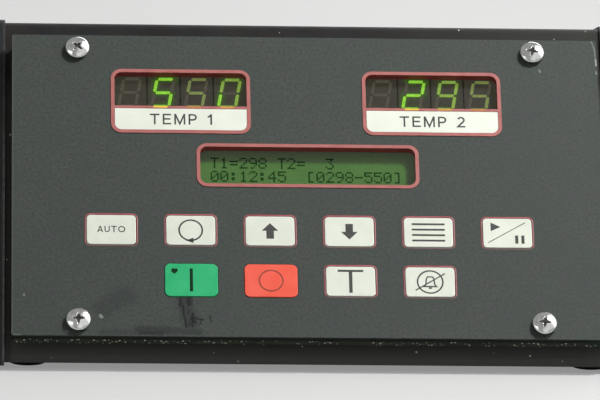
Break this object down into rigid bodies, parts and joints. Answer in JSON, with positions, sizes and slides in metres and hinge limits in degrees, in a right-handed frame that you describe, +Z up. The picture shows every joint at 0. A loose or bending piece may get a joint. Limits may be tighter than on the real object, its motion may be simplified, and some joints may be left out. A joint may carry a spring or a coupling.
{
  "type": "reflow oven control console",
  "caption": "Sloped desktop control console for a reflow oven: grey panel with digit displays, text display and push keys on a black case with rear cable glands, fuse and rocker switch.",
  "frame": {"origin": "on the bench under the middle of the console's box", "axes": "+X to the right of someone facing the panel, -Y towards them, +Z up"},
  "size_m": [0.252, 0.1602, 0.1196],
  "materials": {
    "panel_grey": "fine matt print",
    "plate_metal": "dark anodised",
    "trim_red": "satin",
    "label_white": "satin",
    "key_white": "satin",
    "key_green": "satin",
    "key_red": "satin",
    "digit_black": "semi-gloss",
    "digit_light": "diffusing",
    "text_green": "glassy",
    "case_black": "fine textured paint",
    "cheek_black": "grained",
    "rubber_black": "matt",
    "screw_bright": "polished",
    "steel_plain": "brushed",
    "board_green": "solder mask",
    "fitting_black": "moulded",
    "rocker_black": "moulded",
    "copper_coil": "varnished",
    "core_steel": "varnished laminations",
    "relay_grey": "moulded",
    "can_blue": "sleeved",
    "ribbon_grey": "flat cable",
    "diffuser_white": "diffusing",
    "fuse_glass": "clear tube"
  },
  "bodies": {
    "console": {"front_panel": "plate_metal", "panel_overlay": "panel_grey", "panel_gasket": "rubber_black", "left_display_trim": "trim_red", "right_display_trim": "trim_red", "display_labels": "label_white", "text_display_trim": "trim_red", "left_digit_modules": "digit_black", "right_digit_modules": "digit_black", "digit_segments": "digit_light", "text_display_frame": "case_black", "text_display_glass": "text_green", "text_display_backlight": "diffuser_white", "text_display_board": "board_green", "text_display_spacers": "fitting_black", "key_switches": "fitting_black", "display_board": "board_green", "board_standoffs": "steel_plain", "panel_screws": "screw_bright", "panel_nuts": "steel_plain", "case_cover": "case_black", "right_cheek": "cheek_black", "left_cheek": "cheek_black", "tie_rods": "steel_plain", "cheek_screws": "steel_plain", "base_plate": "case_black", "rubber_feet": "rubber_black", "rear_panel": "case_black", "gland_bodies": "fitting_black", "gland_caps": "fitting_black", "gland_seals": "rubber_black", "lock_nuts": "fitting_black", "fuse_holder": "fitting_black", "switch_body": "fitting_black", "transformer_core": "core_steel", "transformer_coil": "copper_coil", "transformer_strap": "steel_plain", "solid_state_relays": "relay_grey", "relay_terminals": "steel_plain", "chassis_screws": "steel_plain", "power_board": "board_green", "power_board_pillars": "fitting_black", "filter_capacitors": "can_blue", "alarm_buzzer": "fitting_black", "board_screws": "steel_plain", "ribbon_headers": "fitting_black", "ribbon_cable": "ribbon_grey"},
    "key_auto": {"key_auto": "key_white"},
    "key_repeat": {"key_repeat": "key_white"},
    "key_up": {"key_up": "key_white"},
    "key_down": {"key_down": "key_white"},
    "key_menu": {"key_menu": "key_white"},
    "key_run_pause": {"key_run_pause": "key_white"},
    "key_on": {"key_on": "key_green"},
    "key_off": {"key_off": "key_red"},
    "key_temperature": {"key_temperature": "key_white"},
    "key_alarm_off": {"key_alarm_off": "key_white"},
    "power_rocker": {"power_rocker": "rocker_black"},
    "fuse_cap": {"fuse_cap": "fitting_black", "fuse_cartridge": "fuse_glass"}
  },
  "joints": [
    {"name": "key_auto_press", "type": "slide", "parent": "console", "child": "key_auto", "axis": [0, 0.766, -0.6428], "range_m": [0, 0.0005], "stiffness_N_per_m": 300, "springref_m": -0.002},
    {"name": "key_repeat_press", "type": "slide", "parent": "console", "child": "key_repeat", "axis": [0, 0.766, -0.6428], "range_m": [0, 0.0005], "stiffness_N_per_m": 300, "springref_m": -0.002},
    {"name": "key_up_press", "type": "slide", "parent": "console", "child": "key_up", "axis": [0, 0.766, -0.6428], "range_m": [0, 0.0005], "stiffness_N_per_m": 300, "springref_m": -0.002},
    {"name": "key_down_press", "type": "slide", "parent": "console", "child": "key_down", "axis": [0, 0.766, -0.6428], "range_m": [0, 0.0005], "stiffness_N_per_m": 300, "springref_m": -0.002},
    {"name": "key_menu_press", "type": "slide", "parent": "console", "child": "key_menu", "axis": [0, 0.766, -0.6428], "range_m": [0, 0.0005], "stiffness_N_per_m": 300, "springref_m": -0.002},
    {"name": "key_run_pause_press", "type": "slide", "parent": "console", "child": "key_run_pause", "axis": [0, 0.766, -0.6428], "range_m": [0, 0.0005], "stiffness_N_per_m": 300, "springref_m": -0.002},
    {"name": "key_on_press", "type": "slide", "parent": "console", "child": "key_on", "axis": [0, 0.766, -0.6428], "range_m": [0, 0.0005], "stiffness_N_per_m": 300, "springref_m": -0.002},
    {"name": "key_off_press", "type": "slide", "parent": "console", "child": "key_off", "axis": [0, 0.766, -0.6428], "range_m": [0, 0.0005], "stiffness_N_per_m": 300, "springref_m": -0.002},
    {"name": "key_temperature_press", "type": "slide", "parent": "console", "child": "key_temperature", "axis": [0, 0.766, -0.6428], "range_m": [0, 0.0005], "stiffness_N_per_m": 300, "springref_m": -0.002},
    {"name": "key_alarm_off_press", "type": "slide", "parent": "console", "child": "key_alarm_off", "axis": [0, 0.766, -0.6428], "range_m": [0, 0.0005], "stiffness_N_per_m": 300, "springref_m": -0.002},
    {"name": "power_rocker_tilt", "type": "hinge", "parent": "console", "child": "power_rocker", "pos_m": [0.078, 0.06404, 0.074], "axis": [1, 0, 0], "range_deg": [-20, 0]},
    {"name": "fuse_cap_turn", "type": "hinge", "parent": "console", "child": "fuse_cap", "pos_m": [0.035, 0.06404, 0.074], "axis": [0, 1, 0], "range_deg": [0, 45]}
  ]
}
